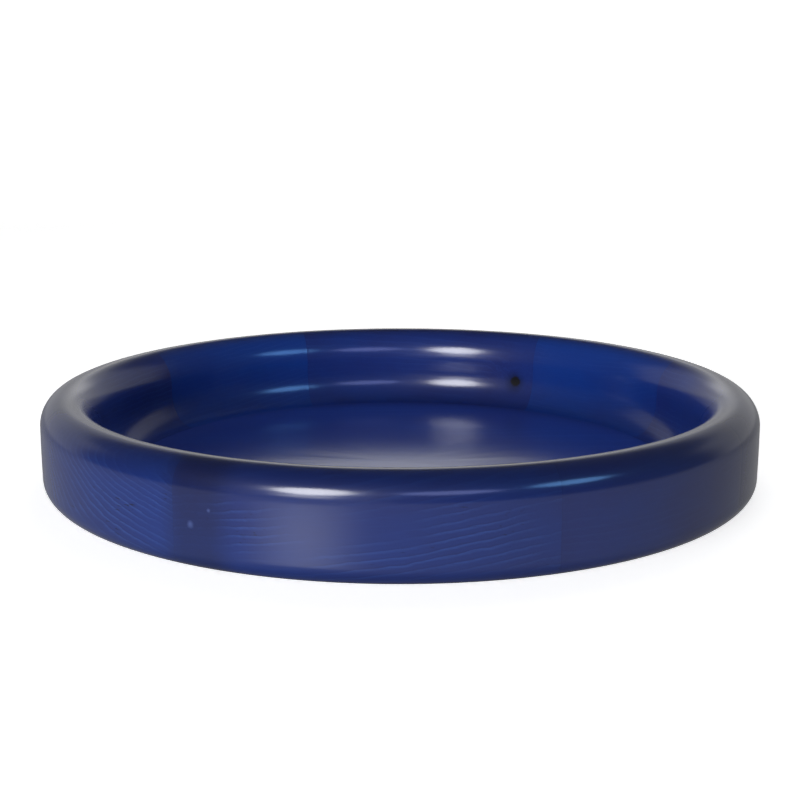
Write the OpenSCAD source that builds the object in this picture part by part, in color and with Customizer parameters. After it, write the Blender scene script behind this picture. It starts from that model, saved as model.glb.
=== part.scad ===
// Round serving tray: a turned ring of eight jointed wooden segments with a
// bullnose rim and a coved foot of the wall, on a floor panel let in from below.
// +Z is up. The origin is the middle of the tray on the surface it stands on.

/* [Ring] */
// Outside diameter of the ring
tray_d = 400; // [300:5:500]
// Height of the ring, from the surface it stands on to the rim
ring_h = 51.5; // [42:0.5:70]
// Thickness of the upright wall
wall_t = 29.5; // [24:0.5:38]

/* [Rounded edges] */
// Radius of the rim's outer edge
rim_round_out = 14; // [8:0.5:16]
// Radius of the rim's inner edge where it runs over the top
rim_round_in = 12; // [6:0.5:14]
// Radius of the slow curve that leads up to it from the wall's inner face
rim_side = 25; // [14:0.5:32]
// Narrowest flat left on top of the rim between its two rounded edges
rim_flat = 0.4; // [0.2:0.1:4]
// Radius of the ring's outer bottom edge
foot_round = 9; // [2:0.5:12]
// Radius of the hollow curve where the wall runs out on the floor
cove_round = 12; // [6:0.5:16]
// Radius of the slow curve that leads down to it from the wall's inner face
cove_side = 25; // [14:0.5:32]
// Slope, from upright, at which each slow curve passes into its tight one
blend = 40; // [25:1:60]

/* [Floor panel] */
// Thickness of the floor panel
panel_t = 4; // [3:0.5:12]
// Height of the panel's underside above the surface that the tray stands on
panel_lift = 1; // [0.5:0.5:5]
// Thickness of the ring's lip, which covers the panel's rebated edge
lip_t = 2; // [1.5:0.5:5]
// How far the panel's rebated edge reaches outwards under the lip
rebate_l = 8; // [4:0.5:12]
// Clearance all round the panel, for glue and for the wood to move
panel_gap = 0.2; // [0.1:0.05:0.5]

/* [Joints between segments] */
// Length of each fork and tongue joint along the ring
joint_l = 25; // [12:1:36]
// Thickness of the tongue across the wall
tongue_t = 8; // [4:0.5:12]
// Direction of the first tongue segment's middle, counter-clockwise from +X
ring_turn = 40; // [0:2.5:90]

/* [Hidden] */
// Segments in the ring, forks and tongues in turn
segments = 8;
segment_angle = 360 / segments;

// Radii and heights of the ring's section
outer_r = tray_d / 2;
inner_r = outer_r - wall_t;
floor_z = panel_lift + panel_t;
lip_z = floor_z - lip_t;

// Width and height of a slow curve that passes into a tight one: from upright
// at its side to level at its end
function curve_across(side_r, end_r) = side_r * (1 - cos(blend)) + end_r * cos(blend);
function curve_rise(side_r, end_r) = side_r * sin(blend) + end_r * (1 - sin(blend));

// Inner edge of the rim and the cove, each made smaller where the wall that it
// is cut in leaves less room
rim_room = wall_t - rim_round_out - rim_flat;
rim_share = min(1, rim_room / curve_across(rim_side, rim_round_in));
rim_across = rim_share * curve_across(rim_side, rim_round_in);
rim_rise = rim_share * curve_rise(rim_side, rim_round_in);
cove_room = ring_h - rim_rise - floor_z;
cove_share = min(1, cove_room / curve_rise(cove_side, cove_round));
cove_across = cove_share * curve_across(cove_side, cove_round);
cove_rise = cove_share * curve_rise(cove_side, cove_round);

// Where the cove runs out on the floor, and how far the panel reaches under it
toe_r = inner_r - cove_across;
rebate_r = toe_r + rebate_l;

// Faces of the tongue, measured outwards from the ring's axis
tongue_in = inner_r + (wall_t - tongue_t) / 2;
tongue_out = tongue_in + tongue_t;

// Radii that lie safely inside and outside the ring, for the segments' plans
plan_in = toe_r / 2;
plan_out = outer_r * 1.25;

// Angle swept by a segment's blank before its ends are cut
blank_angle = segment_angle * 1.5;

// Overlap of a cutting shape past the face that it cuts
over = 1;

// Facets of the curves where they are shown as meshes
$fn = 180;

fork_blue = [0.13, 0.19, 0.44];
tongue_blue = [0.10, 0.20, 0.48];
panel_blue = [0.10, 0.14, 0.36];

// What lies outside a quarter circle of radius r that rounds a corner at
// [x, z]. side_x and side_z are 1 or -1 and say which way the corner points.
module corner_waste(x, z, r, side_x, side_z) {
    waste = r + over;
    translate([x - side_x * r, z - side_z * r])
        difference() {
            translate([side_x < 0 ? -waste : 0, side_z < 0 ? -waste : 0])
                square(waste);
            circle(r);
        }
}

// What lies inside a slow curve of radius side_r that passes into a tight one of
// radius end_r. Measured from [0, 0], its side is upright at the left, at the
// height 0, and its end is level at the top, above [0, 0].
module two_curves(side_r, end_r) {
    across = curve_across(side_r, end_r);
    tight = [0, curve_rise(side_r, end_r) - end_r];
    pass = tight + (end_r + over) * [-cos(blend), sin(blend)];
    translate(tight)
        circle(end_r);
    intersection() {
        translate([side_r - across, 0])
            circle(side_r);
        polygon([tight, pass, [-across - over, pass[1]], [-across - over, -over], [0, -over]]);
    }
}

// Section of the ring: X is the distance from the axis and Y is the height.
module ring_section() {
    difference() {
        union() {
            // upright wall
            translate([inner_r, 0])
                square([wall_t, ring_h]);
            // foot of the wall, hollowed by the cove
            difference() {
                translate([toe_r, 0])
                    square([cove_across + over, floor_z + cove_rise]);
                translate([toe_r, floor_z + cove_rise])
                    rotate(180)
                        two_curves(cove_share * cove_side, cove_share * cove_round);
            }
        }
        // rebate that takes the panel's edge
        translate([toe_r - over, -over])
            square([rebate_l + over, lip_z + over]);
        corner_waste(outer_r, ring_h, rim_round_out, 1, 1);
        // inner edge of the rim
        translate([inner_r + rim_across, ring_h - rim_rise])
            difference() {
                translate([-rim_across - over, 0])
                    square([rim_across + over, rim_rise + over]);
                two_curves(rim_share * rim_side, rim_share * rim_round_in);
            }
        corner_waste(outer_r, 0, foot_round, 1, -1);
    }
}

// A point near the joint at the given angle: along runs counter-clockwise
// along the ring from the middle of the joint, out runs away from the axis.
function at_joint(angle, along, out) = [
    out * cos(angle) - along * sin(angle),
    out * sin(angle) + along * cos(angle)
];

// The stepped line of one end of a segment, from the axis outwards. The
// shoulders stand at shoulder_at along the ring, the tongue's end at tip_at.
function joint_line(angle, shoulder_at, tip_at) = [
    at_joint(angle, shoulder_at, plan_in),
    at_joint(angle, shoulder_at, tongue_in),
    at_joint(angle, tip_at, tongue_in),
    at_joint(angle, tip_at, tongue_out),
    at_joint(angle, shoulder_at, tongue_out),
    at_joint(angle, shoulder_at, plan_out)
];

// Every point of a list, in the opposite order.
function turned_round(points) = [for (i = [len(points) - 1 : -1 : 0]) points[i]];

// Plan of a segment with its middle on +X. reach is 1 where its middle layer
// reaches past the joints as a tongue, and -1 where its outer layers do, as a fork.
module segment_plan(reach) {
    half = segment_angle / 2;
    tip = reach * joint_l / 2;
    polygon(concat(joint_line(-half, tip, -tip), turned_round(joint_line(half, -tip, tip))));
}

// One segment of the ring with its middle on +X.
module segment(reach) {
    intersection() {
        rotate([0, 0, -blank_angle / 2])
            rotate_extrude(angle = blank_angle)
                ring_section();
        translate([0, 0, -over])
            linear_extrude(ring_h + 2 * over)
                segment_plan(reach);
    }
}

// Segment whose middle layer fills the slots of its two neighbours.
module tongue_segment(number) {
    color(tongue_blue)
        rotate([0, 0, ring_turn + 2 * (number - 1) * segment_angle])
            segment(1);
}

// Segment whose inner and outer layers clasp the tongues of its two neighbours.
module fork_segment(number) {
    color(fork_blue)
        rotate([0, 0, ring_turn + (2 * number - 1) * segment_angle])
            segment(-1);
}

// Round floor with a rebated edge, glued up against the underside of the lip.
module floor_panel() {
    color(panel_blue)
        rotate_extrude()
            union() {
                translate([0, panel_lift])
                    square([toe_r - panel_gap, panel_t]);
                translate([0, panel_lift])
                    square([rebate_r - panel_gap, panel_t - lip_t]);
            }
}

fork_segment(1);  // fork_segment_1
fork_segment(2);  // fork_segment_2
fork_segment(3);  // fork_segment_3
fork_segment(4);  // fork_segment_4
tongue_segment(1);  // tongue_segment_1
tongue_segment(2);  // tongue_segment_2
tongue_segment(3);  // tongue_segment_3
tongue_segment(4);  // tongue_segment_4
floor_panel();
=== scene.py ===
"""A low round tray of stained wood under a gloss lacquer.

Eight segments, joined by forks and tongues, make the wall, and one round panel makes the floor.
Lengths are in metres and angles in radians, apart from names that end in _deg. Z is up, the tray
stands on the plane z = 0 with its axis on the Z axis, and angles run counter-clockwise from +X.
"""

import logging
import math
from dataclasses import dataclass
from enum import Enum

import bmesh
import bpy
import numpy as np
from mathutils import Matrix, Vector


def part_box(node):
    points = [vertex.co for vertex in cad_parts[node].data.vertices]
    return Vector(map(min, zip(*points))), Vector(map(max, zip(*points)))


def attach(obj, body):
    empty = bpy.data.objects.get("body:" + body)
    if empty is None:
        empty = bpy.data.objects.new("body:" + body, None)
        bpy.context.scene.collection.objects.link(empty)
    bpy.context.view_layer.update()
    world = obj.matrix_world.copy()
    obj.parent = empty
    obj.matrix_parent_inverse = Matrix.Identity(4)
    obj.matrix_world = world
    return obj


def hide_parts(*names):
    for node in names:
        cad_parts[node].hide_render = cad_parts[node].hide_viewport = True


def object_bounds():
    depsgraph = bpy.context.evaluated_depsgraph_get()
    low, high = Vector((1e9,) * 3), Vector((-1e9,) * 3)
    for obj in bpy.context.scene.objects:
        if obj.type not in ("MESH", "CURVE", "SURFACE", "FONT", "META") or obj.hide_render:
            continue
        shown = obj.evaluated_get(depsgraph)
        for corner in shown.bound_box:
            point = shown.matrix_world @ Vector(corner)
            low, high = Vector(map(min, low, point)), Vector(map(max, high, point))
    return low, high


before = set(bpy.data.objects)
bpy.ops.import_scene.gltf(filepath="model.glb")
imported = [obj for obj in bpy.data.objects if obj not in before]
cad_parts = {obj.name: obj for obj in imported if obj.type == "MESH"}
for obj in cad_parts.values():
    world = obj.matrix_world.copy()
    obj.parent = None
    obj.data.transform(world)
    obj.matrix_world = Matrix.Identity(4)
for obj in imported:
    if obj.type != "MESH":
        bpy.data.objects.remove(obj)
CAD_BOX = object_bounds()

BODY = "root"
WELD = 1e-6
SHARP_DEG = 35.0

log = logging.getLogger("tray")


# ---------------------------------------------------------------- shader tools


@dataclass(frozen=True)
class Wire:
    """A number that varies over a surface. Arithmetic on it adds Math nodes."""

    bench: "Bench"
    socket: bpy.types.NodeSocket

    def math(self, operation: str, *values: "Wire | float") -> "Wire":
        """Returns the result of one Math node on the given values."""
        made = self.bench.node("ShaderNodeMath", {"operation": operation}, dict(enumerate(values)))
        return Wire(self.bench, made.outputs[0])

    def __add__(self, other: "Wire | float") -> "Wire":
        """Returns self + other."""
        return self.math("ADD", self, other)

    def __radd__(self, other: float) -> "Wire":
        """Returns other + self."""
        return self.math("ADD", other, self)

    def __sub__(self, other: "Wire | float") -> "Wire":
        """Returns self - other."""
        return self.math("SUBTRACT", self, other)

    def __rsub__(self, other: float) -> "Wire":
        """Returns other - self."""
        return self.math("SUBTRACT", other, self)

    def __mul__(self, other: "Wire | float") -> "Wire":
        """Returns self * other."""
        return self.math("MULTIPLY", self, other)

    def __rmul__(self, other: float) -> "Wire":
        """Returns other * self."""
        return self.math("MULTIPLY", other, self)

    def __truediv__(self, other: "Wire | float") -> "Wire":
        """Returns self / other."""
        return self.math("DIVIDE", self, other)

    def __abs__(self) -> "Wire":
        """Returns the size of self without its sign."""
        return self.math("ABSOLUTE", self)

    def root(self) -> "Wire":
        """Returns the square root of self."""
        return self.math("SQRT", self)

    def fraction(self) -> "Wire":
        """Returns what is left of self above the whole number below it."""
        return self.math("FRACT", self)

    def most(self, other: "Wire | float") -> "Wire":
        """Returns the larger of self and other."""
        return self.math("MAXIMUM", self, other)

    def rise(self, low: float, high: float) -> "Wire":
        """Returns a smooth step: 0 where self is below low, and 1 where it is above high."""
        made = self.bench.node(
            "ShaderNodeMapRange",
            {"interpolation_type": "SMOOTHSTEP"},
            {"Value": self, "From Min": low, "From Max": high},
        )
        return Wire(self.bench, made.outputs[0])

    def near(self, reach: float) -> "Wire":
        """Returns 1 where self is 0, falling smoothly to 0 where its size is reach."""
        return 1.0 - abs(self).rise(0.0, reach)


class Bench:
    """The node tree of one material or room, and the only way that nodes get onto it."""

    def __init__(self, owner: "bpy.types.Material | bpy.types.World") -> None:
        """Empties the owner's node tree, ready for new nodes."""
        self.owner = owner
        owner.use_nodes = True
        self.tree = owner.node_tree
        self.tree.nodes.clear()

    @classmethod
    def material(cls, name: str) -> "Bench":
        """Returns the bench of a new material."""
        return cls(bpy.data.materials.new(name))

    def node(
        self, kind: str, settings: dict | None = None, sockets: dict | None = None
    ) -> bpy.types.Node:
        """Adds one node.

        Args:
            kind: the node's type.
            settings: the node's own settings, which are set first.
            sockets: values, Wires or sockets for its inputs, by name or number.

        Returns:
            The node.
        """
        made = self.tree.nodes.new(kind)
        for name, setting in (settings or {}).items():
            setattr(made, name, setting)
        for key, value in (sockets or {}).items():
            source = value.socket if isinstance(value, Wire) else value
            if isinstance(source, bpy.types.NodeSocket):
                self.tree.links.new(source, made.inputs[key])
            else:
                made.inputs[key].default_value = source
        return made

    def noise(self, place: bpy.types.NodeSocket, scale: float, detail: float = 2.0) -> Wire:
        """Returns soft noise from 0 to 1 at a place, with scale features to the metre."""
        made = self.node("ShaderNodeTexNoise", None, {"Vector": place, "Scale": scale, "Detail": detail})
        return Wire(self, made.outputs[0])

    def stretched(
        self, place: bpy.types.NodeSocket, stretch: tuple, shift: float
    ) -> bpy.types.NodeSocket:
        """Returns a place with each axis multiplied by its stretch, then moved by shift."""
        made = self.node(
            "ShaderNodeVectorMath",
            {"operation": "MULTIPLY_ADD"},
            {0: place, 1: stretch, 2: (shift, shift, shift)},
        )
        return made.outputs[0]

    def mix(self, share: "Wire | float", first: object, second: object) -> bpy.types.NodeSocket:
        """Returns a colour between first, at share 0, and second, at share 1."""
        made = self.node("ShaderNodeMix", {"data_type": "RGBA"}, {0: share, 6: first, 7: second})
        return made.outputs[2]

    def multiplied(self, colour: bpy.types.NodeSocket, amount: Wire) -> bpy.types.NodeSocket:
        """Returns a colour made lighter or darker by an amount."""
        made = self.node("ShaderNodeVectorMath", {"operation": "SCALE"}, {0: colour, "Scale": amount})
        return made.outputs[0]


# ---------------------------------------------------------------- sizes


class Cut(Enum):
    """Which layers of a segment reach on past the middle of its joints."""

    FORK = -1
    TONGUE = 1


@dataclass(frozen=True)
class Bend:
    """A slow curve from upright that passes, at the blend's slope, into a tight one that ends level."""

    side: float
    end: float
    blend_deg: float = 40.0

    @property
    def blend(self) -> float:
        """The blend's slope from upright."""
        return math.radians(self.blend_deg)

    @property
    def across(self) -> float:
        """Width of the two curves together: side * (1 - cos b) + end * cos b."""
        return self.side * (1 - math.cos(self.blend)) + self.end * math.cos(self.blend)

    @property
    def rise(self) -> float:
        """Height of the two curves together: side * sin b + end * (1 - sin b)."""
        return self.side * math.sin(self.blend) + self.end * (1 - math.sin(self.blend))


@dataclass(frozen=True)
class TraySizes:
    """Sizes of the tray. The radius, height and panel heights come from the frame."""

    radius: float
    height: float
    panel_low: float
    floor: float
    wall: float = 0.0295
    rim_out: float = 0.014
    rim_in: Bend = Bend(0.025, 0.012)
    foot: float = 0.009
    cove: Bend = Bend(0.025, 0.012)
    lip: float = 0.002
    rebate: float = 0.008
    panel_gap: float = 0.0002
    joint: float = 0.025
    tongue: float = 0.008
    turn_deg: float = 40.0
    segments: int = 8

    @property
    def inner(self) -> float:
        """Radius of the wall's upright inner face."""
        return self.radius - self.wall

    @property
    def toe(self) -> float:
        """Radius at which the cove runs out on the floor."""
        return self.inner - self.cove.across

    @property
    def rebate_radius(self) -> float:
        """Radius of the rebate that takes the panel's edge."""
        return self.toe + self.rebate

    @property
    def tongue_in(self) -> float:
        """Distance from the axis to the tongue's inner face, at the middle of the joint."""
        return self.inner + (self.wall - self.tongue) / 2

    @property
    def tongue_out(self) -> float:
        """Distance from the axis to the tongue's outer face, at the middle of the joint."""
        return self.tongue_in + self.tongue

    @property
    def half_segment(self) -> float:
        """Angle from the middle of a segment to the middle of its joint."""
        return math.pi / self.segments

    def middle(self, cut: Cut, number: int) -> float:
        """Returns the direction of a segment's middle, for its cut and its number from 1."""
        step = 2 * (number - 1) + (1 if cut is Cut.FORK else 0)
        return math.radians(self.turn_deg) + 2 * step * self.half_segment


# ---------------------------------------------------------------- surfaces


@dataclass(frozen=True)
class Run:
    """Part of the ring's section at every station: arrays of stations by points."""

    r: np.ndarray
    z: np.ndarray
    out_r: np.ndarray
    out_z: np.ndarray

    def then(self, *others: "Run") -> "Run":
        """Returns this run joined to the others, end to start, with no point twice."""
        parts = [self] + [Run(o.r[:, 1:], o.z[:, 1:], o.out_r[:, 1:], o.out_z[:, 1:]) for o in others]
        columns = ("r", "z", "out_r", "out_z")
        return Run(*(np.concatenate([getattr(p, c) for p in parts], axis=1) for c in columns))


def arc(
    centre: tuple, radius: float, start: object, end: object, points: int, stations: int, hollow: bool
) -> Run:
    """Makes an arc of the section.

    The point at share t is centre + radius * (cos a, sin a), where a runs evenly from start to end.

    Args:
        centre: distance from the axis and height of the arc's centre.
        radius: the arc's radius.
        start: the first angle, one number or one for each station.
        end: the last angle, the same way.
        points: how many points the arc has.
        stations: how many stations the run has.
        hollow: whether the wood lies outside the arc, as at a cove.

    Returns:
        The run.
    """
    share = np.linspace(0.0, 1.0, points)[None, :]
    first = np.broadcast_to(np.asarray(start, float).reshape(-1, 1), (stations, 1))
    last = np.broadcast_to(np.asarray(end, float).reshape(-1, 1), (stations, 1))
    angle = first * (1 - share) + last * share
    side = -1.0 if hollow else 1.0
    return Run(
        centre[0] + radius * np.cos(angle),
        centre[1] + radius * np.sin(angle),
        side * np.cos(angle),
        side * np.sin(angle),
    )


def line(start: tuple, end: tuple, outward: tuple, points: int, stations: int) -> Run:
    """Makes a straight stretch of the section: start * (1 - t) + end * t for even shares t.

    Args:
        start: distance from the axis and height of the first point. Either may have one value a station.
        end: the same for the last point.
        outward: the direction that points out of the wood.
        points: how many points the stretch has.
        stations: how many stations the run has.

    Returns:
        The run.
    """
    share = np.linspace(0.0, 1.0, points)[None, :]
    ends = [np.broadcast_to(np.asarray(v, float).reshape(-1, 1), (stations, 1)) for v in (*start, *end)]
    r = ends[0] * (1 - share) + ends[2] * share
    z = ends[1] * (1 - share) + ends[3] * share
    return Run(r, z, np.full_like(r, outward[0]), np.full_like(r, outward[1]))


@dataclass(frozen=True)
class Stations:
    """Places along a segment at which its section is drawn, from one end to the other.

    A point of the section at distance r from the axis stands at the angle
    centre + turn * asin(lean / r), so that a station near a joint is a flat plane square to it.
    """

    centre: np.ndarray
    turn: np.ndarray
    lean: np.ndarray
    joint_points: int

    @classmethod
    def along(cls, sizes: TraySizes, joint_points: int, span_points: int) -> "Stations":
        """Returns the stations of a segment: its first joint, the span between, and its last joint."""
        half = sizes.half_segment
        reach = sizes.joint / 2
        through = np.linspace(-reach, reach, joint_points)
        share = np.linspace(0.0, 1.0, span_points)[1:-1]
        joint = np.full(joint_points, half)
        centre = np.concatenate([-joint, half * (2 * share - 1), joint])
        turn = np.concatenate([np.ones(joint_points), 1 - 2 * share, np.ones(joint_points)])
        lean = np.concatenate([through, np.full(span_points - 2, reach), through])
        return cls(centre, turn, lean, joint_points)

    @property
    def count(self) -> int:
        """How many stations there are."""
        return len(self.centre)

    @property
    def span(self) -> slice:
        """The stations from one joint's far side to the other's near side."""
        return slice(self.joint_points - 1, self.count - self.joint_points + 1)

    def angles(self, r: np.ndarray) -> np.ndarray:
        """Returns the angle of each point from its distance from the axis."""
        return self.centre[:, None] + self.turn[:, None] * np.arcsin(self.lean[:, None] / r)

    def crossing(self, out: float) -> np.ndarray:
        """Returns how far from the axis a flat face at distance out crosses each station."""
        return np.sqrt(out**2 + self.lean**2)


class MeshBuilder:
    """Collects grids and flat faces, and welds them into one closed mesh."""

    def __init__(self) -> None:
        """Starts with nothing."""
        self.points: list[np.ndarray] = []
        self.faces: list[list[int]] = []
        self.count = 0

    def _add(self, points: np.ndarray) -> int:
        """Adds points and returns the number of the first."""
        first = self.count
        self.points.append(points.reshape(-1, 3))
        self.count += points.size // 3
        return first

    def grid(self, points: np.ndarray, wrap: bool = False) -> None:
        """Adds a surface of four-sided faces over an array of rows by columns of points.

        Args:
            points: rows by columns by three coordinates.
            wrap: whether the last column joins the first.
        """
        rows, columns = points.shape[:2]
        number = self._add(points) + np.arange(rows * columns).reshape(rows, columns)
        if wrap:
            number = np.concatenate([number, number[:, :1]], axis=1)
        corners = (number[:-1, :-1], number[1:, :-1], number[1:, 1:], number[:-1, 1:])
        self.faces += np.stack(corners, axis=-1).reshape(-1, 4).tolist()

    def flat(self, points: np.ndarray) -> None:
        """Adds one flat face with the given corners."""
        first = self._add(points)
        self.faces.append(list(range(first, self.count)))

    def build(self, name: str) -> bpy.types.Object:
        """Returns the finished object: welded, facing outwards, and smooth but for its edges."""
        mesh = bpy.data.meshes.new(name)
        mesh.from_pydata(np.concatenate(self.points).tolist(), [], self.faces)
        work = bmesh.new()
        work.from_mesh(mesh)
        bmesh.ops.remove_doubles(work, verts=work.verts, dist=WELD)
        bmesh.ops.dissolve_degenerate(work, dist=WELD / 2, edges=work.edges)
        bmesh.ops.recalc_face_normals(work, faces=work.faces)
        open_edges = sum(1 for edge in work.edges if len(edge.link_faces) != 2)
        work.to_mesh(mesh)
        work.free()
        mesh.shade_smooth()
        mesh.set_sharp_from_angle(angle=math.radians(SHARP_DEG))
        piece = bpy.data.objects.new(name, mesh)
        bpy.context.scene.collection.objects.link(piece)
        log.info("%s: %d faces, %d open edges", name, len(mesh.polygons), open_edges)
        return piece


def around(r: np.ndarray, z: np.ndarray, angle: np.ndarray) -> np.ndarray:
    """Returns points from distances from the axis, heights and angles: (r cos a, r sin a, z)."""
    return np.stack([r * np.cos(angle), r * np.sin(angle), np.broadcast_to(z, r.shape)], axis=-1)


def hand_work(x: np.ndarray, y: np.ndarray, z: np.ndarray, depth: float) -> np.ndarray:
    """How far sanding and lacquer have left the surface below the true shape.

    Four slow waves round the tray, the last two of them slanted, are added, and the sum
    is shifted so that it lies between 0 and depth.

    Args:
        x: first coordinate of each point.
        y: second coordinate.
        z: height.
        depth: the most that the surface is low.

    Returns:
        The depth at each point.
    """
    angle = np.arctan2(y, x)
    waves = np.sin(5 * angle + 0.7) + np.sin(11 * angle + 2.1)
    waves = waves + 0.6 * np.sin(23 * angle + 90 * z) + 0.4 * np.sin(37 * angle - 140 * z + 1.3)
    return depth * (0.5 + waves / 6.0)


# ---------------------------------------------------------------- finishes


@dataclass(frozen=True)
class Knot:
    """A small dark knot: its direction from the tray's axis, its height and its radius."""

    angle_deg: float
    height: float
    radius: float


@dataclass(frozen=True)
class Smear:
    """A pale fleck of glue under the stain, given in the same way as a knot."""

    angle_deg: float
    height: float
    radius: float


@dataclass(frozen=True)
class Board:
    """How a segment lay in its tree, and how it took the stain.

    The growth rings are circles about the pith, which lies pith_out inside the outer wall and
    pith_up above half height, and rises by lean_up along the board. The glue darkened each end
    of the segment by its share of ends, the clockwise end first.
    """

    pith_out: float
    pith_up: float
    lean_up: float
    ring_width: float
    bright: float
    figure: float
    seed: float
    ends: tuple = (0.3, 0.3)
    knots: tuple = ()
    smears: tuple = ()


@dataclass(frozen=True)
class Lacquer:
    """Clear gloss lacquer over the wood, the same all over a piece."""

    roughness: float = 0.17
    ior: float = 1.45
    wood_roughness: float = 0.55
    wood_specular: float = 0.15
    bump_strength: float = 0.6

    def finish(self, bench: Bench, colour: bpy.types.NodeSocket, relief: Wire, depth: float) -> None:
        """Joins a wood colour and relief to the shader that lies under the lacquer.

        Args:
            bench: the material's bench.
            colour: the wood's colour.
            relief: height of the wood's surface, from 0 to 1.
            depth: what the relief's whole height measures.
        """
        sockets = {"Strength": self.bump_strength, "Distance": depth, "Height": relief}
        bump = bench.node("ShaderNodeBump", None, sockets)
        shader = bench.node(
            "ShaderNodeBsdfPrincipled",
            None,
            {
                "Base Color": colour,
                "Roughness": self.wood_roughness,
                "IOR": self.ior,
                "Specular IOR Level": self.wood_specular,
                "Coat Weight": 1.0,
                "Coat Roughness": self.roughness,
                "Coat IOR": self.ior,
                "Normal": bump.outputs[0],
            },
        )
        bench.node("ShaderNodeOutputMaterial", None, {"Surface": shader.outputs[0]})


@dataclass(frozen=True)
class Grain:
    """Soft noise in wood, from 0 to 1: how far it is drawn out, its scale and its detail.

    A stretch below 1 along an axis draws the features out along it. The shift keeps one kind of
    grain from lying like another.
    """

    stretch: tuple
    shift: float
    scale: float
    detail: float = 2.0

    def on(self, bench: Bench, place: bpy.types.NodeSocket, seed: float = 0.0) -> Wire:
        """Returns the grain at a place, for a board's seed."""
        moved = bench.stretched(place, self.stretch, seed + self.shift)
        return bench.noise(moved, self.scale, self.detail)


@dataclass(frozen=True)
class Place:
    """Where a point of a segment lies when the segment's middle is turned on to +X."""

    bench: Bench
    spot: bpy.types.NodeSocket
    out: Wire
    along: Wire
    up: Wire

    @classmethod
    def turned(cls, bench: Bench, angle: float) -> "Place":
        """Returns the place of a point in the tray's coordinates, turned back by an angle."""
        spot = bench.node("ShaderNodeTexCoord").outputs["Object"]
        sockets = {"Vector": spot, "Rotation": (0.0, 0.0, -angle)}
        spot = bench.node("ShaderNodeMapping", None, sockets).outputs[0]
        parts = bench.node("ShaderNodeSeparateXYZ", None, {0: spot})
        return cls(bench, spot, *(Wire(bench, parts.outputs[axis]) for axis in range(3)))

    @property
    def radius(self) -> Wire:
        """Distance from the tray's axis."""
        return (self.out * self.out + self.along * self.along).root()


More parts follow.
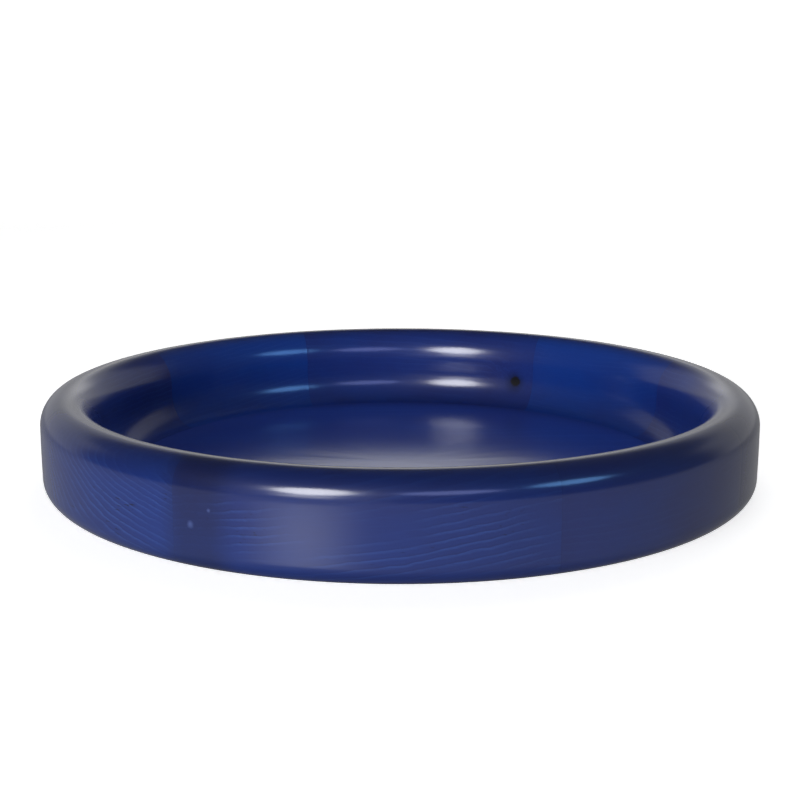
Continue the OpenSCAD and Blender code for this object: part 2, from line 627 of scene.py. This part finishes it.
@dataclass(frozen=True)
class BlueStain:
    """Blue stain on softwood: the soft early wood drinks it, and the hard late wood stays paler."""

    deep: tuple = (0.0075, 0.0150, 0.105, 1.0)
    bright: tuple = (0.0035, 0.0260, 0.175, 1.0)
    pale: tuple = (0.0180, 0.0560, 0.250, 1.0)
    glue: tuple = (0.0500, 0.0800, 0.250, 1.0)
    knot: tuple = (0.0050, 0.0045, 0.007, 1.0)
    line_half: float = 0.00035
    relief: float = 0.00006
    # Painted light: the segments' inner faces are made this many times lighter, standing in for light that
    # the lamps don't bring inside the ring
    inner_painted_light_gain: float = 1.85
    # Share by which the rounded rim and foot are darkened: partly end grain taking more stain, partly painted
    # shade
    edge_stain_and_shade: float = 0.24
    # Painted light: the panel's colour is made this many times lighter, standing in for light on the tray's
    # floor
    panel_painted_light_gain: float = 2.8
    # What bends the growth rings of a segment, and how far, in metres
    sway: Grain = Grain((1.0, 0.45, 1.0), 0.0, 16.0)
    sway_push: float = 0.006
    wave: Grain = Grain((1.0, 0.50, 1.0), 7.3, 75.0)
    wave_push: float = 0.0035
    ripple: Grain = Grain((1.0, 0.40, 1.0), 3.1, 260.0, 3.0)
    ripple_push: float = 0.0011
    # Shares of a year at which late wood begins, is full, fades and ends, and early wood ends
    late_year: tuple = (0.52, 0.86, 0.90, 1.0)
    early_year: float = 0.22
    # What varies the colour of a segment
    patch: Grain = Grain((1.0, 0.5, 1.6), 1.7, 34.0)
    fibre: Grain = Grain((1.0, 0.022, 1.0), 5.9, 1500.0, 3.0)
    fleck: Grain = Grain((1.0, 0.13, 1.0), 9.4, 900.0, 1.0)
    blotch: Grain = Grain((1.0, 0.6, 1.0), 4.4, 26.0, 4.0)
    # The panel's own growth rings and grain, which run along X
    panel_ring: float = 0.0085
    panel_late: tuple = (0.30, 0.85, 0.92, 1.0)
    panel_sway: Grain = Grain((0.30, 1.0, 1.0), 2.2, 9.0)
    panel_sway_push: float = 0.09
    panel_ripple: Grain = Grain((0.25, 1.0, 1.0), 8.8, 130.0, 3.0)
    panel_ripple_push: float = 0.004
    panel_fibre: Grain = Grain((0.02, 1.0, 1.0), 6.1, 1300.0, 3.0)
    panel_patch: Grain = Grain((0.4, 1.0, 1.0), 3.6, 18.0, 3.0)

    def late_wood(self, year: Wire, shares: tuple) -> Wire:
        """Returns 1 in the late wood of a year, from the four shares of the year that bound it."""
        begins, full, fades, ends = shares
        return year.rise(begins, full) * (1.0 - year.rise(fades, ends))

    def reach(self, sizes: TraySizes, bench: Bench, mark: "Knot | Smear", radius: float, waver: Wire) -> Wire:
        """Finds how far the surface lies from a mark's line, which runs straight out of the tray.

        Args:
            sizes: the tray's sizes.
            bench: the material's bench.
            mark: the knot or fleck.
            radius: the distance that counts as 1.
            waver: noise that makes the mark's outline uneven.

        Returns:
            The distance over the radius. It is large on the tray's other side.
        """
        place = Place.turned(bench, math.radians(mark.angle_deg))
        behind = 1.0 - place.out.rise(0.0, sizes.toe)
        height = place.up - mark.height
        distance = (place.along * place.along + height * height).root()
        return distance / radius + behind * 50.0 + (waver - 0.5) * 0.9

    def joint_lines(self, sizes: TraySizes, cut: Cut, place: Place) -> tuple:
        """Finds a segment's joints on its surface.

        Args:
            sizes: the tray's sizes.
            cut: the segment's cut.
            place: the place on the segment.

        Returns:
            The glue lines, 1 on a line, and the stretch that the glue darkened, 1 at a joint's middle.
        """
        sine, cosine = math.sin(sizes.half_segment), math.cos(sizes.half_segment)
        past = abs(place.along) * cosine - place.out * sine
        depth = place.out * cosine + abs(place.along) * sine
        reach = sizes.joint / 2
        end = -reach * cut.value
        tongue_middle = (sizes.tongue_in + sizes.tongue_out) / 2
        inside = (depth - tongue_middle).near(sizes.tongue).rise(0.45, 0.55)
        shoulders = (past - end).near(self.line_half) * (1.0 - inside)
        tip = (past + end).near(self.line_half) * inside
        stretch = 1.0 - abs(past).rise(reach * 0.50, reach * 1.90)
        inner_cheek = (depth - sizes.tongue_in).near(self.line_half)
        cheeks = inner_cheek.most((depth - sizes.tongue_out).near(self.line_half))
        return shoulders.most(tip).most(cheeks * stretch), stretch

    def rings(self, sizes: TraySizes, board: Board, place: Place, ripple: Wire) -> Wire:
        """Finds the growth rings of a segment.

        Args:
            sizes: the tray's sizes.
            board: the segment's board.
            place: the place on the segment.
            ripple: fine noise.

        Returns:
            The share of a year at the place: the distance from the wavering pith, over the rings'
            width, less its whole part. Near a knot the rings bend round it.
        """
        sway = self.sway.on(place.bench, place.spot, board.seed)
        wave = self.wave.on(place.bench, place.spot, board.seed)
        out = place.out - (sizes.radius - board.pith_out) + (sway - 0.5) * self.sway_push
        middle = sizes.height / 2 + board.pith_up
        high = place.up - middle + place.along * board.lean_up + (wave - 0.5) * self.wave_push
        for knot in board.knots:
            pushed = self.reach(sizes, place.bench, knot, knot.radius * 5, ripple)
            high = high + (1.0 - pushed.rise(0.0, 1.0)) * (knot.radius * 3)
        distance = (out * out + high * high).root() + (ripple - 0.5) * self.ripple_push
        return (distance / board.ring_width).fraction()

    def marks(
        self, sizes: TraySizes, board: Board, place: Place, colour: object, ripple: Wire, blotch: Wire
    ) -> object:
        """Lays a board's flecks of glue and its knots over its colour.

        Args:
            sizes: the tray's sizes.
            board: the board.
            place: the place on the segment.
            colour: the colour so far.
            ripple: fine noise, for the outlines.
            blotch: broad noise, for the knots' halos.

        Returns:
            The colour with the marks.
        """
        bench = place.bench
        for smear in board.smears:
            fleck = self.reach(sizes, bench, smear, smear.radius, ripple).near(1.0)
            colour = bench.mix(fleck * 0.75, colour, self.glue)
        for knot in board.knots:
            halo = self.reach(sizes, bench, knot, knot.radius * 2.2, blotch).near(1.0)
            colour = bench.multiplied(colour, 1.0 - halo * 0.70)
            core = 1.0 - self.reach(sizes, bench, knot, knot.radius, ripple).rise(0.55, 1.05)
            colour = bench.mix(core, colour, self.knot)
        return colour

    def segment(
        self, node: str, sizes: TraySizes, cut: Cut, middle: float, board: Board, lacquer: Lacquer
    ) -> bpy.types.Material:
        """Makes the material of one ring segment.

        Args:
            node: name of the segment's node.
            sizes: the tray's sizes.
            cut: the segment's cut.
            middle: direction of the segment's middle.
            board: the board it was sawn from.
            lacquer: the lacquer on it.

        Returns:
            The material.
        """
        bench = Bench.material(f"{node}_stain")
        place = Place.turned(bench, middle)
        ripple = self.ripple.on(bench, place.spot, board.seed)
        year = self.rings(sizes, board, place, ripple)
        late = self.late_wood(year, self.late_year)
        early = 1.0 - year.rise(0.0, self.early_year)
        patch = self.patch.on(bench, place.spot, board.seed)
        fibre = self.fibre.on(bench, place.spot, board.seed)
        fleck = self.fleck.on(bench, place.spot, board.seed).rise(0.66, 0.74)
        fleck = fleck * bench.noise(place.spot, 60.0).rise(0.40, 0.62)
        blotch = self.blotch.on(bench, place.spot, board.seed)
        lines, stretch = self.joint_lines(sizes, cut, place)
        # Painted light: the inner face is made lighter, standing in for light that reaches it. The rounded
        # edges are made darker, partly as end grain that takes more stain and partly as painted shade
        inside = 1.0 - place.radius.rise(sizes.inner + 0.004, sizes.inner + 0.015)
        rim = place.up.rise(sizes.height - sizes.rim_out * 1.3, sizes.height - sizes.rim_out * 0.3)
        edge = rim.most(1.0 - place.up.rise(0.0, sizes.foot * 1.6)) * (1.0 - inside)
        side = place.along.rise(-0.01, 0.01)
        glued = stretch * (board.ends[0] * (1.0 - side) + board.ends[1] * side) * (1.0 - inside * 0.8)
        figure = (1.0 - glued * 0.85) * (1.0 - edge * 0.8) * patch.rise(0.30, 0.66) * board.figure
        base = (blotch - 0.5) * 1.5 + board.bright - glued * 0.10
        colour = bench.mix(base, self.deep, self.bright)
        colour = bench.mix(late * figure * (0.16 + fibre * 0.36), colour, self.pale)
        shade = 1.0 + (fibre - 0.5) * 0.20 - early * figure * 0.14 - fleck * figure * 0.34
        shade = shade - lines * 0.10 - glued * 0.35
        # Painted light makes the inner faces lighter; the rounded rim and foot are darkened, partly as stain
        # and partly as painted shade
        shade = shade * (1.0 + inside * (self.inner_painted_light_gain - 1.0)) * (1.0 - edge * self.edge_stain_and_shade)
        colour = bench.multiplied(colour, shade)
        colour = self.marks(sizes, board, place, colour, ripple, blotch)
        relief = late * figure * 0.5 + fibre * 0.3 - fleck * 0.4 - lines * 0.6
        lacquer.finish(bench, colour, relief, self.relief)
        return bench.owner

    def panel(self, node: str, sizes: TraySizes, lacquer: Lacquer) -> bpy.types.Material:
        """Makes the material of the floor panel, whose grain runs along X.

        Args:
            node: name of the panel's node.
            sizes: the tray's sizes.
            lacquer: the lacquer on it.

        Returns:
            The material.
        """
        bench = Bench.material(f"{node}_stain")
        place = Place.turned(bench, 0.0)
        sway = self.panel_sway.on(bench, place.spot)
        ripple = self.panel_ripple.on(bench, place.spot)
        side = place.along + (sway - 0.5) * self.panel_sway_push
        year = ((side + (ripple - 0.5) * self.panel_ripple_push) / self.panel_ring).fraction()
        late = self.late_wood(year, self.panel_late)
        fibre = self.panel_fibre.on(bench, place.spot)
        patch = self.panel_patch.on(bench, place.spot)
        colour = bench.mix(patch * 0.75 - 0.05, self.deep, self.bright)
        colour = bench.mix(late * patch.rise(0.35, 0.7) * 0.10, colour, self.pale)
        joint = (place.radius - sizes.toe).near(self.line_half * 2)
        shade = 0.95 + (fibre - 0.5) * 0.20 - joint * 0.15
        # Painted light: the panel is made lighter than its stain, in place of light that falls on the tray's
        # floor
        colour = bench.multiplied(colour, shade * self.panel_painted_light_gain)
        lacquer.finish(bench, colour, fibre * 0.4, self.relief / 20)
        return bench.owner


# ---------------------------------------------------------------- pieces


@dataclass(frozen=True)
class RingSegment:
    """One of the eight segments of the wall, as a closed solid with its joints cut."""

    sizes: TraySizes
    cut: Cut
    number: int
    board: Board
    joint_points: int = 25
    span_points: int = 96
    ease_width: float = 0.0012
    ease_depth: float = 0.00004
    ease_clear: float = 0.003
    wave_depth: float = 0.00010
    wave_fade: float = 0.008
    crown_depth: float = 0.00012

    @property
    def node(self) -> str:
        """Name of the CAD node that the segment stands for."""
        return f"{self.cut.name.lower()}_segment_{self.number}"

    @property
    def middle(self) -> float:
        """Direction of the segment's middle."""
        return self.sizes.middle(self.cut, self.number)

    def outer_layer(self, cross: np.ndarray) -> Run:
        """Returns the section outside the tongue: over the rim, down the wall, under the foot."""
        s = self.sizes
        n = len(cross)
        rim = (s.radius - s.rim_out, s.height - s.rim_out)
        start = np.arccos((cross - rim[0]) / s.rim_out)
        return arc(rim, s.rim_out, start, 0.0, 22, n, False).then(
            line((s.radius, rim[1]), (s.radius, s.foot), (1, 0), 26, n),
            arc((s.radius - s.foot, s.foot), s.foot, 0.0, -math.pi / 2, 16, n, False),
            line((s.radius - s.foot, 0.0), (cross, 0.0), (0, -1), 3, n),
        )

    def inner_layer(self, cross: np.ndarray) -> Run:
        """Returns the section inside the tongue: under the foot, round the lip, up the cove and wall."""
        s = self.sizes
        n = len(cross)
        lip_low = s.floor - s.lip
        cove, rim = s.cove, s.rim_in
        cove_top, rim_low = s.floor + cove.rise, s.height - rim.rise
        tight = (s.inner + rim.across, s.height - rim.end)
        end = np.arccos((cross - tight[0]) / rim.end)
        return line((cross, 0.0), (s.rebate_radius, 0.0), (0, -1), 4, n).then(
            line((s.rebate_radius, 0.0), (s.rebate_radius, lip_low), (-1, 0), 3, n),
            line((s.rebate_radius, lip_low), (s.toe, lip_low), (0, -1), 3, n),
            line((s.toe, lip_low), (s.toe, s.floor), (-1, 0), 2, n),
            arc((s.toe, s.floor + cove.end), cove.end, -math.pi / 2, -cove.blend, 14, n, True),
            arc((s.inner - cove.side, cove_top), cove.side, -cove.blend, 0.0, 16, n, True),
            line((s.inner, cove_top), (s.inner, rim_low), (-1, 0), 6, n),
            arc((s.inner + rim.side, rim_low), rim.side, math.pi, math.pi - rim.blend, 16, n, False),
            arc(tight, rim.end, math.pi - rim.blend, end, 12, n, False),
        )

    def middle_top(self, inside: np.ndarray, outside: np.ndarray) -> Run:
        """Returns the top of the rim over the tongue, from its inner face to its outer face."""
        s = self.sizes
        n = len(inside)
        inner_rim = (s.inner + s.rim_in.across, s.height - s.rim_in.end)
        outer_rim = (s.radius - s.rim_out, s.height - s.rim_out)
        start = np.arccos((inside - inner_rim[0]) / s.rim_in.end)
        end = np.arccos((outside - outer_rim[0]) / s.rim_out)
        return arc(inner_rim, s.rim_in.end, start, math.pi / 2, 5, n, False).then(
            line((inner_rim[0], s.height), (outer_rim[0], s.height), (0, 1), 2, n),
            arc(outer_rim, s.rim_out, math.pi / 2, end, 8, n, False),
        )

    def placed(self, run: Run, stations: Stations, reaches: bool) -> np.ndarray:
        """Carries a run of the section along the segment.

        Each point is lowered along its outward direction by the hand work on its surface,
        which fades in above the floor, by an easing of the edge at the layer's ends, which
        falls as the square of the distance from the end, and by a slight crown on the outer
        wall, whose depth is crown_depth * h**2, where h is 0 half way up and 1 at top and bottom.

        Args:
            run: the run, at every station.
            stations: the stations.
            reaches: whether this layer runs on through the joints.

        Returns:
            Stations by points by three coordinates, for the stations that the layer has.
        """
        s = self.sizes
        angle = stations.angles(run.r)
        world = angle + self.middle
        visible = np.clip((run.z - s.floor) / self.wave_fade, 0.0, 1.0)
        x, y = run.r * np.cos(world), run.r * np.sin(world)
        low = hand_work(x, y, run.z, self.wave_depth) * visible
        reach = s.joint / 2 * (1 if reaches else -1)
        past = run.r * np.sin(np.abs(angle) - s.half_segment)
        left = np.clip((past - (reach - self.ease_width)) / self.ease_width, 0.0, 1.0)
        crosses = np.minimum(abs(run.r - s.tongue_in), abs(run.r - s.tongue_out))
        upright = np.clip(abs(run.out_r) * 3 - 0.6, 0.0, 1.0)
        upright = upright * np.clip(crosses / self.ease_clear - 0.3, 0.0, 1.0)
        low = low + self.ease_depth * left**2 * upright * visible
        top, foot = s.height - s.rim_out, s.foot
        from_middle = np.clip(abs(run.z - (top + foot) / 2) / ((top - foot) / 2), 0.0, 1.0)
        low = low + self.crown_depth * from_middle**2 * np.clip(run.out_r, 0.0, 1.0)
        points = around(run.r - run.out_r * low, run.z - run.out_z * low, world)
        return points if reaches else points[stations.span]

    def build(self) -> bpy.types.Object:
        """Returns the segment's object: four runs of the section, its ends and its joints' cheeks."""
        s = self.sizes
        stations = Stations.along(s, self.joint_points, self.span_points)
        inside, outside = stations.crossing(s.tongue_in), stations.crossing(s.tongue_out)
        prongs = self.cut is Cut.FORK
        outer = self.placed(self.outer_layer(outside), stations, prongs)
        inner = self.placed(self.inner_layer(inside), stations, prongs)
        top = self.placed(self.middle_top(inside, outside), stations, not prongs)
        under = line((outside, 0.0), (inside, 0.0), (0, -1), 3, stations.count)
        under = self.placed(under, stations, not prongs)
        mesh = MeshBuilder()
        for surface in (outer, inner, top, under):
            mesh.grid(surface)
        for end in (0, -1):
            mesh.flat(outer[end])
            mesh.flat(inner[end])
            mesh.flat(np.concatenate([top[end], under[end]]))
        n = self.joint_points
        for part in (slice(0, n), slice(-n, None)):
            if prongs:
                mesh.grid(np.stack([outer[part, 0], outer[part, -1]], axis=1))
                mesh.grid(np.stack([inner[part, 0], inner[part, -1]], axis=1))
            else:
                mesh.grid(np.stack([top[part, 0], under[part, -1]], axis=1))
                mesh.grid(np.stack([top[part, -1], under[part, 0]], axis=1))
        return mesh.build(f"{self.node}_wood")

    def dress(self, piece: bpy.types.Object, stain: BlueStain, lacquer: Lacquer) -> None:
        """Gives the segment its finish and sets it in the frame."""
        material = stain.segment(self.node, self.sizes, self.cut, self.middle, self.board, lacquer)
        piece.data.materials.append(material)
        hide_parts(self.node)
        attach(piece, BODY)


@dataclass(frozen=True)
class FloorPanel:
    """The round floor, with a rebated edge under the wall's lip."""

    sizes: TraySizes
    sectors: int = 256
    rings: int = 60
    wave_depth: float = 0.00010

    def build(self) -> bpy.types.Object:
        """Returns the panel's object.

        The section is carried round the axis: out across the top, down the rebate and in across
        the underside. The top is lowered by the hand work, which fades out at its middle and edge.
        """
        s = self.sizes
        top_r, edge_r = s.toe - s.panel_gap, s.rebate_radius - s.panel_gap
        lip_low = s.floor - s.lip
        out = top_r * np.linspace(0.0, 1.0, self.rings)
        under = edge_r * np.linspace(1.0, 0.0, self.rings // 2)
        step_r = np.array([top_r, (top_r + edge_r) / 2, edge_r])
        r = np.concatenate([out, step_r, under])
        heights = ((out, s.floor), (step_r, lip_low), (under, s.panel_low))
        z = np.concatenate([np.full_like(part, height) for part, height in heights])
        angle = np.linspace(0.0, 2 * math.pi, self.sectors, endpoint=False)
        r, angle = np.meshgrid(r, angle, indexing="ij")
        share = r / top_r
        fade = np.clip(share * 3, 0, 1) * np.clip((1 - share) * 8, 0, 1) * (z[:, None] == s.floor)
        x, y = r * np.cos(angle), r * np.sin(angle)
        low = hand_work(x, y, 0.3 * x + 0.5 * y, self.wave_depth) * fade
        mesh = MeshBuilder()
        mesh.grid(around(r, z[:, None] - low, angle), wrap=True)
        return mesh.build("floor_panel_wood")

    def dress(self, piece: bpy.types.Object, stain: BlueStain, lacquer: Lacquer) -> None:
        """Gives the panel its finish and sets it in the frame."""
        piece.data.materials.append(stain.panel("floor_panel", self.sizes, lacquer))
        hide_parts("floor_panel")
        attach(piece, BODY)


# ---------------------------------------------------------------- studio


class Task(Enum):
    """What a lamp is for: to be mirrored in the lacquer, or to fill the wood with light."""

    MIRROR = "mirror"
    FILL = "fill"


@dataclass(frozen=True)
class SoftBox:
    """A soft lamp: its task, its direction from the tray, its spread seen from there, and its light."""

    name: str
    task: Task
    azimuth_deg: float
    elevation_deg: float
    wide_deg: float
    tall_deg: float
    brightness: float
    colour: tuple = (1.0, 1.0, 1.0)
    distance: float = 1.7

    def place(self) -> None:
        """Puts the lamp in the scene, facing the tray. Its power gives it the stated brightness."""
        a, e = math.radians(self.azimuth_deg), math.radians(self.elevation_deg)
        toward = Vector((math.sin(a) * math.cos(e), -math.cos(a) * math.cos(e), math.sin(e)))
        where = self.distance * toward
        lamp = bpy.data.lights.new(self.name, "AREA")
        lamp.shape = "ELLIPSE"
        lamp.size = 2 * self.distance * math.tan(math.radians(self.wide_deg / 2))
        lamp.size_y = 2 * self.distance * math.tan(math.radians(self.tall_deg / 2))
        lamp.energy = self.brightness * math.pi * lamp.size * lamp.size_y
        lamp.color = self.colour
        holder = bpy.data.objects.new(self.name, lamp)
        holder.location = where
        holder.rotation_euler = (-where).to_track_quat("-Z", "Y").to_euler()
        holder.visible_camera = False
        holder.visible_diffuse = self.task is Task.FILL
        holder.visible_glossy = self.task is Task.MIRROR
        bpy.context.scene.collection.objects.link(holder)


@dataclass(frozen=True)
class Room:
    """The light that reaches the tray from all round.

    Below the horizon it is the light of the pale floor, strongest in front, weaker towards the
    back, the right and straight down, with the key lamp's sheen on it. Above the horizon it is a
    pale wall at the back with a lit stretch half way up, under a dark room. A pair of numbers is
    where a fade begins and ends, as a part of a direction of length 1.
    """

    floor_front: float = 0.57
    floor_back: float = 0.27
    floor_under: float = 0.42
    side_fall: float = 0.01
    front_fade: tuple = (-0.9, 0.9)
    under_fade: tuple = (0.35, 0.95)
    horizon_fade: tuple = (0.0, 0.06)
    wall_back: float = 0.42
    wall_side_fade: tuple = (0.25, 0.50)
    wall_top_fade: tuple = (0.42, 0.56)
    wall_glow: float = 0.95
    wall_glow_height: float = 0.27
    wall_glow_tall: float = 0.12
    wall_glow_wide: float = 0.40
    wall_glow_fade: tuple = (0.5, 0.9)
    dark: float = 0.07
    sheen: float = 2.6
    sheen_azimuth_deg: float = -29.0
    sheen_elevation_deg: float = -18.0
    sheen_wide_deg: float = 21.0
    sheen_tall_deg: float = 8.0
    sheen_fade: tuple = (0.4, 0.8)

    def paper(self, x: Wire, z: Wire, front: Wire) -> Wire:
        """Returns the light of the pale floor: less to the back, the right and straight down."""
        light = self.floor_back + front * (self.floor_front - self.floor_back) - x * self.side_fall
        return light * (1.0 - (0.0 - z).rise(*self.under_fade) * (1.0 - self.floor_under))

    def wall(self, x: Wire, y: Wire, z: Wire) -> Wire:
        """Returns the light of the wall at the back, its lit stretch and the dark room above."""
        lit = (z - self.wall_glow_height).near(self.wall_glow_tall) * y.rise(*self.wall_glow_fade)
        lit = lit * x.near(self.wall_glow_wide) * self.wall_glow
        reach = y.rise(*self.wall_side_fade) * (1.0 - z.rise(*self.wall_top_fade))
        return reach * (self.wall_back + lit) + self.dark

    def key_sheen(self, x: Wire, y: Wire, z: Wire, front: Wire) -> Wire:
        """Returns the key lamp's sheen on the floor, round its azimuth and elevation."""
        a = math.radians(self.sheen_azimuth_deg)
        beside = x * math.cos(a) + y * math.sin(a)
        above = z - math.sin(math.radians(self.sheen_elevation_deg))
        sheen = beside.near(math.sin(math.radians(self.sheen_wide_deg)))
        sheen = sheen * above.near(math.sin(math.radians(self.sheen_tall_deg)))
        return sheen * front.rise(*self.sheen_fade) * self.sheen

    def light(self) -> None:
        """Makes the room the scene's world."""
        world = bpy.data.worlds.new("studio_room")
        bench = Bench(world)
        direction = bench.node("ShaderNodeTexCoord").outputs["Generated"]
        parts = bench.node("ShaderNodeSeparateXYZ", None, {0: direction})
        x, y, z = (Wire(bench, parts.outputs[axis]) for axis in range(3))
        front = (0.0 - y).rise(*self.front_fade)
        below = (0.0 - z).rise(*self.horizon_fade)
        light = below * self.paper(x, z, front) + (1.0 - below) * self.wall(x, y, z)
        light = light + self.key_sheen(x, y, z, front)
        sockets = {"Color": (1.0, 1.0, 1.0, 1.0), "Strength": light}
        glow = bench.node("ShaderNodeBackground", None, sockets)
        bench.node("ShaderNodeOutputWorld", None, {"Surface": glow.outputs[0]})
        bpy.context.scene.world = world


@dataclass(frozen=True)
class Studio:
    """A pale floor that curves up into a pale wall, the room's light, soft lamps and the camera.

    The tray takes its light from the room and the lamps; the floor is what is seen round it.
    """

    radius: float
    room: Room = Room()
    floor_radius: float = 1.55
    bend: float = 0.45
    wall_top: float = 0.95
    sectors: int = 128
    paper: tuple = (0.88, 0.88, 0.88, 1.0)
    paper_roughness: float = 0.9
    glow: float = 0.78
    camera_distance: float = 4.052
    camera_elevation_deg: float = 15.31
    camera_tilt_deg: float = 77.54
    lens: float = 63.0

    def stage(self) -> None:
        """Makes the floor and wall: a flat line, a quarter circle and an upright one, turned about Z."""
        turn = np.linspace(-math.pi / 2, 0.0, 24)
        flat = np.linspace(0.0, self.floor_radius, 30)[:-1]
        up = np.linspace(self.bend, self.wall_top, 6)[1:]
        upright = np.full_like(up, self.floor_radius + self.bend)
        r = np.concatenate([flat, self.floor_radius + self.bend * np.cos(turn), upright])
        z = np.concatenate([np.zeros_like(flat), self.bend * (1 + np.sin(turn)), up])
        angle = np.linspace(0.0, 2 * math.pi, self.sectors, endpoint=False)
        r, angle = np.meshgrid(r, angle, indexing="ij")
        mesh = MeshBuilder()
        mesh.grid(around(r, z[:, None], angle), wrap=True)
        floor = mesh.build("studio_floor")
        floor.visible_glossy = False
        floor.visible_diffuse = False
        floor.visible_shadow = False
        bench = Bench.material("studio_paper")
        shader = bench.node(
            "ShaderNodeBsdfPrincipled",
            None,
            {
                "Base Color": self.paper,
                "Roughness": self.paper_roughness,
                "Specular IOR Level": 0.0,
                "Emission Color": (1.0, 1.0, 1.0, 1.0),
                "Emission Strength": self.glow,
            },
        )
        bench.node("ShaderNodeOutputMaterial", None, {"Surface": shader.outputs[0]})
        floor.data.materials.append(bench.owner)

    def lamps(self) -> None:
        """Puts the lamps in place: four to mirror, of which two are slim and cool, and two to fill.

        The numbers of a lamp are its azimuth, elevation, width and height in degrees, and brightness.
        """
        for lamp in (
            SoftBox("key_box", Task.MIRROR, -26.0, 29.5, 20.0, 21.0, 16.0),
            SoftBox("key_foot", Task.MIRROR, -26.0, 14.0, 17.0, 9.0, 4.5),
            SoftBox("centre_strip", Task.MIRROR, 15.0, 32.0, 26.0, 12.0, 4.0, (0.42, 0.50, 1.0)),
            SoftBox("side_strip", Task.MIRROR, 54.0, 33.0, 22.0, 13.0, 6.5, (0.20, 0.50, 1.0)),
            SoftBox("front_fill", Task.FILL, -26.0, 8.0, 44.0, 24.0, 8.0),
            SoftBox("back_fill", Task.FILL, 165.0, 55.0, 40.0, 26.0, 2.0),
        ):
            lamp.place()

    def camera(self) -> None:
        """Puts the camera in front of the tray, a little above it."""
        e = math.radians(self.camera_elevation_deg)
        reach = self.camera_distance * self.radius
        camera = bpy.data.objects.new("camera", bpy.data.cameras.new("camera"))
        camera.data.lens = self.lens
        camera.location = (0.0, -reach * math.cos(e), reach * math.sin(e))
        camera.rotation_euler = (math.radians(self.camera_tilt_deg), 0.0, 0.0)
        bpy.context.scene.collection.objects.link(camera)
        bpy.context.scene.camera = camera

    def build(self) -> None:
        """Builds the whole studio, with plain colours that keep their strength."""
        self.camera()
        self.stage()
        self.room.light()
        self.lamps()
        bpy.context.scene.view_settings.view_transform = "Standard"


# ---------------------------------------------------------------- the tray


def segment_boards() -> dict:
    """Returns the board of every segment, by its cut and number, round from the back right."""
    knot = Knot(62.6, 0.0207, 0.0042)
    smears = (Smear(241.7, 0.0230, 0.0024), Smear(244.6, 0.0305, 0.0014))
    return {
        (Cut.TONGUE, 1): Board(0.080, -0.060, 0.10, 0.0030, 0.85, 0.30, 11.0),
        (Cut.FORK, 1): Board(0.030, -0.090, -0.06, 0.0036, 0.30, 0.30, 23.0, (0.1, 0.3), (knot,)),
        (Cut.TONGUE, 2): Board(0.060, -0.075, 0.12, 0.0031, 0.90, 0.30, 31.0),
        (Cut.FORK, 2): Board(0.065, -0.060, -0.10, 0.0029, 0.35, 0.50, 47.0),
        (Cut.TONGUE, 3): Board(0.085, -0.052, 0.53, 0.0023, 0.55, 1.60, 59.0, (0.2, 1.0)),
        (Cut.FORK, 3): Board(0.012, -0.080, -0.15, 0.0038, 0.55, 1.50, 61.0, (1.0, 0.1), (), smears),
        (Cut.TONGUE, 4): Board(0.030, -0.090, -0.05, 0.0036, 0.42, 0.30, 73.0),
        (Cut.FORK, 4): Board(0.070, -0.066, 0.15, 0.0030, 0.30, 0.40, 89.0),
    }


def measure() -> TraySizes:
    """Returns the tray's sizes, the overall ones taken from the frame."""
    low, high = CAD_BOX
    panel_low, panel_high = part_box("floor_panel")
    return TraySizes(radius=high.x, height=high.z, panel_low=panel_low.z, floor=panel_high.z)


def main() -> None:
    """Builds the studio, the eight segments and the floor panel, and dresses them."""
    logging.basicConfig(level=logging.INFO, format="%(name)s: %(message)s")
    sizes = measure()
    Studio(sizes.radius).build()
    stain, lacquer = BlueStain(), Lacquer()
    for (cut, number), board in segment_boards().items():
        segment = RingSegment(sizes, cut, number, board)
        segment.dress(segment.build(), stain, lacquer)
    panel = FloorPanel(sizes)
    panel.dress(panel.build(), stain, lacquer)


if __name__ == "__main__":
    main()
